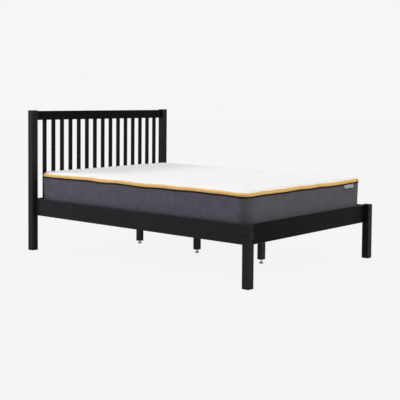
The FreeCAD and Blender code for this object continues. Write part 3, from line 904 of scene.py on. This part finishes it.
def battenScrewPlaces():
    places = []
    for word, direction in (("left", 1), ("right", -1)):
        low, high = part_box("slat_batten_" + word)
        x = high.x if direction > 0 else low.x
        start, end = low.y + battenScrew["endDistance"], high.y - battenScrew["endDistance"]
        for k in range(battenScrew["count"]):
            y = start + (end - start) * k / (battenScrew["count"] - 1)
            place = Vector((x + direction * slatScrew["proud"], y, (low.z + high.z) / 2))
            places.append((place, Vector((direction, 0, 0))))
    return places


def saddleScrewPlaces():
    places = []
    low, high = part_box("centre_rail_brackets")
    footRailIn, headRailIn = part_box("foot_rail")[1].y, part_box("head_lower_rail")[0].y
    gauge = saddleScrew["gauge"]
    earMiddle = high.x - saddleScrew["inFromEar"]
    for y, direction in ((footRailIn + gauge, 1), (headRailIn - gauge, -1)):
        for x in (-earMiddle, earMiddle):
            for share in saddleScrew["shares"]:
                z = low.z + (high.z - low.z) * share
                place = Vector((x, y + direction * saddleScrew["height"], z))
                places.append((place, Vector((0, direction, 0))))
    return places


def screwGroup(name, places, sizes, look):
    return grown(name, pointMesh(name, places), screws, {**recess, **sizes, "look": look})


screwPieces = [
    screwGroup("slatScrews", slatScrewPlaces(), slatScrew, materials["zincSteel"]),
    screwGroup("battenScrews", battenScrewPlaces(), slatScrew, materials["zincSteel"]),
    screwGroup("saddleScrews", saddleScrewPlaces(), saddleScrew, materials["boltSteel"]),
]
print("screws:", [len(piece.data.polygons) for piece in screwPieces])

# Levelling studs: a rolled thread on the shank, a hexagon for the spanner and the round foot in its pad
stud = {"pitch": 0.00125, "threadDepth": 0.00068, "sides": 24, "stepsPerTurn": 8, "radius": 0.004,
        "tipGap": 0.0005, "taper": 0.002, "crest": 1.25, "footRadius": 0.0055, "footHeight": 0.0025,
        "footSides": 28, "footEase": 0.0004, "footUpperEase": 0.0006,
        "hexAcross": 0.010, "hexHeight": 0.004, "hexGap": 0.001, "hexEase": 0.0005, "flatArea": 1e-6}


def ringAt(mesh, centre, z, radii):  # a ring with one vertex for each radius
    ring = []
    for i, radius in enumerate(radii):
        angle = 2 * math.pi * i / len(radii)
        ring.append(mesh.verts.new(centre + Vector((math.cos(angle) * radius, math.sin(angle) * radius, z))))
    return ring


def closeRings(mesh, rings):
    for lower, upper in zip(rings, rings[1:]):
        bridge(mesh, lower, upper)
    mesh.faces.new(rings[0][::-1])
    mesh.faces.new(rings[-1])


def turned(mesh, centre, sides, *profile):  # a closed turned form through (radius, height) points
    closeRings(mesh, [ringAt(mesh, centre, z, [radius] * sides) for radius, z in profile])


def threadRadius(z, turn, top):
    phase = (z / stud["pitch"] - turn) % 1.0
    ridge = min(1.0, (1.0 - abs(phase * 2.0 - 1.0)) * stud["crest"])
    taper = min(1.0, (top - z) / stud["taper"] * 0.5 + 0.5)
    return (stud["radius"] - stud["threadDepth"] * (1.0 - ridge)) * taper


def makeStud(word):
    low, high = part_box("leveller_stud_" + word)
    centre = Vector(((low.x + high.x) / 2, (low.y + high.y) / 2, 0.0))
    mesh = bmesh.new()
    bottom, top = low.z + stud["footHeight"], high.z - stud["tipGap"]
    steps = round((top - bottom) / stud["pitch"] * stud["stepsPerTurn"])
    rings = []
    for k in range(steps + 1):
        z = bottom + (top - bottom) * k / steps
        radii = [threadRadius(z, i / stud["sides"], top) for i in range(stud["sides"])]
        rings.append(ringAt(mesh, centre, z, radii))
    closeRings(mesh, rings)
    foot, ease = stud["footRadius"], stud["footEase"]
    turned(mesh, centre, stud["footSides"], (foot - ease, low.z), (foot, low.z + ease), (foot, bottom - ease),
           (foot - stud["footUpperEase"], bottom))
    hexRadius, ease = stud["hexAcross"] / math.sqrt(3), stud["hexEase"]
    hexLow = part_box("leveller_pad_" + word)[1].z + stud["hexGap"]
    hexHigh = hexLow + stud["hexHeight"]
    turned(mesh, centre, 6, (hexRadius - ease, hexLow), (hexRadius, hexLow + ease), (hexRadius, hexHigh - ease),
           (hexRadius - ease, hexHigh))
    piece = asObject("levellerStud" + word.capitalize(), mesh, materials["nickelSteel"])
    for polygon in piece.data.polygons:
        polygon.use_smooth = len(polygon.vertices) == 4 and polygon.area < stud["flatArea"]
    return piece


studPieces = {word: makeStud(word) for word in ("head", "middle", "foot")}
print("studs:", [len(piece.data.polygons) for piece in studPieces.values()])

# What each piece rides on, and the CAD nodes it stands for, which are hidden
for nodeName, piece in mattressPieces.items():
    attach(piece, "mattress")
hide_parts("mattress_border", "mattress_core")
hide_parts("mattress_top")
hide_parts("mattress_piping")
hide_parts("mattress_tag")
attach(borderStitches, "mattress")
for piece in tagRows:
    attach(piece, "mattress")
for piece, slotName in zip(screwPieces, ("plated_steel", "plated_steel", "black_steel")):
    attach(piece, "frame")
for word, piece in studPieces.items():
    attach(piece, "leveller_stud_" + word)
    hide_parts("leveller_stud_" + word)
print("pieces ride on their bodies")

# Pale studio: a floor that keeps a faint shadow, a plain background and soft light from two sides
studio = {"background": 0.9216, "ambient": 0.22, "floorSize": 60.0, "floorLevel": -0.0004,
          "shadowShare": 0.035, "bounce": 0.74}
lamps = {
    "sideLight": {"strength": 2.05, "angle": 24.0, "from": (-0.66, 1.0, 0.85), "colour": (0.97, 0.95, 1.06)},
    "footLight": {"strength": 1.68, "angle": 36.0, "from": (0.20, -1.0, 0.8), "colour": (1.02, 1.02, 0.95)},
    "topLight": {"strength": 0.45, "angle": 90.0, "from": (0.0, 0.0, 1.0), "colour": (1.0, 1.0, 1.0)},
}
softbox = {"strength": 38.0, "size": 2.2, "place": (-3.4, 4.0, 1.1), "aim": (-0.7, 0.3, 0.3),
           "colour": (0.93, 0.92, 1.12)}


def grey(value):
    return (value,) * 3 + (1.0,)


def seenDirectly(tree):  # 1 for rays that show the background itself, to the eye or in a reflection
    rays = tree.nodes.new("ShaderNodeLightPath")
    seen = maths("ADD", rays.outputs["Is Camera Ray"], rays.outputs["Is Glossy Ray"])
    return maths("MINIMUM", maths("ADD", seen, rays.outputs["Is Transmission Ray"]), 1.0)


def addLamp(name, kind, values, facing):
    light = bpy.data.lights.new(name, kind)
    light.energy, light.color = values["strength"], values["colour"]
    lamp = placed(name, light)
    lamp.rotation_mode = "QUATERNION"
    lamp.rotation_quaternion = facing.to_track_quat("Z", "Y")
    return lamp


def makeStudio():
    scene.world = bpy.data.worlds.new("studio")
    tree = emptied(scene.world)
    shade = mixColour(seenDirectly(tree), grey(studio["ambient"]), grey(studio["background"]))
    sky = addNode(tree, "ShaderNodeBackground", Color=shade, Strength=1.0)
    addNode(tree, "ShaderNodeOutputWorld", byPlace={0: sky.outputs[0]})
    for name, values in lamps.items():
        lamp = addLamp(name, "SUN", values, Vector(values["from"]))
        lamp.data.angle = math.radians(values["angle"])
    lamp = addLamp("softbox", "AREA", softbox, Vector(softbox["place"]) - Vector(softbox["aim"]))
    lamp.data.size = softbox["size"]
    lamp.location = softbox["place"]


def makeFloor():
    reach, level = studio["floorSize"] / 2, studio["floorLevel"]
    data = bpy.data.meshes.new("floor")
    corners = [(x * reach, y * reach, level) for x, y in ((-1, -1), (1, -1), (1, 1), (-1, 1))]
    data.from_pydata(corners, [], [(0, 1, 2, 3)])
    material = bpy.data.materials.new("paleFloor")
    tree = emptied(material)
    matt = addNode(tree, "ShaderNodeBsdfDiffuse", Color=grey(studio["bounce"]))
    glow = addNode(tree, "ShaderNodeEmission", Color=grey(studio["background"]), Strength=1.0)
    share = maths("MULTIPLY", seenDirectly(tree), 1.0 - studio["shadowShare"])
    mix = addNode(tree, "ShaderNodeMixShader", byPlace={0: share, 1: matt.outputs[0], 2: glow.outputs[0]})
    addNode(tree, "ShaderNodeOutputMaterial", byPlace={0: mix.outputs[0]})
    data.materials.append(material)
    floor = placed("floor", data)


makeStudio()
makeFloor()

# The camera at the photograph's viewing angle
view = {"place": (-4.82093, -4.10536, 1.12857), "yaw": 49.7202, "pitch": -2.8760, "roll": 0.4726,
        "lens": 79.704, "sensor": 36.0, "shiftY": -0.1470, "clip": (0.05, 200.0)}


def makeCamera():
    yaw, pitch, roll = (math.radians(view[key]) for key in ("yaw", "pitch", "roll"))
    ahead = Vector((math.sin(yaw) * math.cos(pitch), math.cos(yaw) * math.cos(pitch), math.sin(pitch)))
    level = Vector((math.cos(yaw), -math.sin(yaw), 0.0))
    above = level.cross(ahead)
    right = level * math.cos(roll) + above * math.sin(roll)
    up = above * math.cos(roll) - level * math.sin(roll)
    data = bpy.data.cameras.new("camera")
    data.sensor_width = view["sensor"]
    data.lens = view["lens"]
    data.shift_y = view["shiftY"]
    data.clip_start, data.clip_end = view["clip"]
    camera = placed("camera", data)
    turn = Matrix((right, up, -ahead)).transposed().to_4x4()
    camera.matrix_world = Matrix.Translation(view["place"]) @ turn
    scene.camera = camera


makeCamera()
scene.view_settings.view_transform = "Standard"
print("studio and camera")
